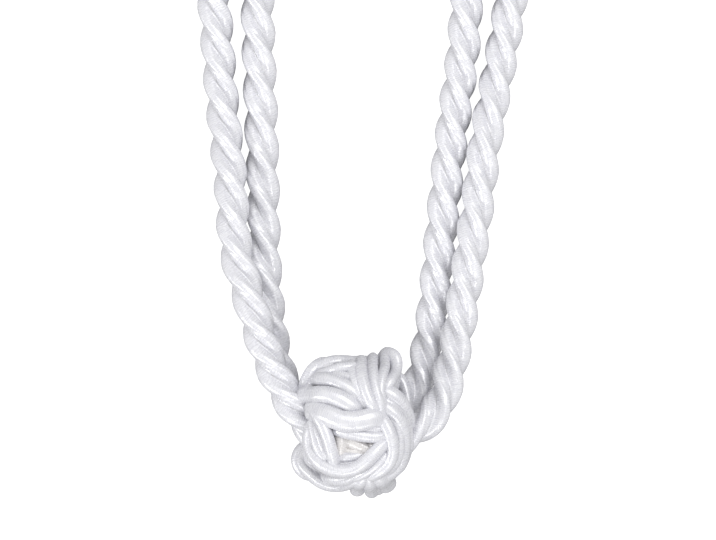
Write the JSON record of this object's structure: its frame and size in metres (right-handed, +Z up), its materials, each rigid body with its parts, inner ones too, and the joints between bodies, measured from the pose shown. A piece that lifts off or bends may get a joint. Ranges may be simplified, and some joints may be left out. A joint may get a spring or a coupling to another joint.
{
  "type": "curtain tieback rope with ball knot",
  "caption": "Doubled twisted satin rope with a round ball knot at its middle and an open hook loop at each end, for holding back a gathered curtain.",
  "frame": {"origin": "middle of the small flat spot that the ball knot rests on, with the tieback laid out flat on a surface", "axes": "+Y from the knot along the rope towards the two hook loops, +Z up from the surface, +X to the right seen from above"},
  "size_m": [0.1506, 0.3055, 0.0417],
  "materials": {
    "satin_rope": "satin",
    "satin_gimp": "satin"
  },
  "bodies": {
    "root": {"rope": "satin_rope", "knot": "satin_gimp"}
  },
  "joints": []
}
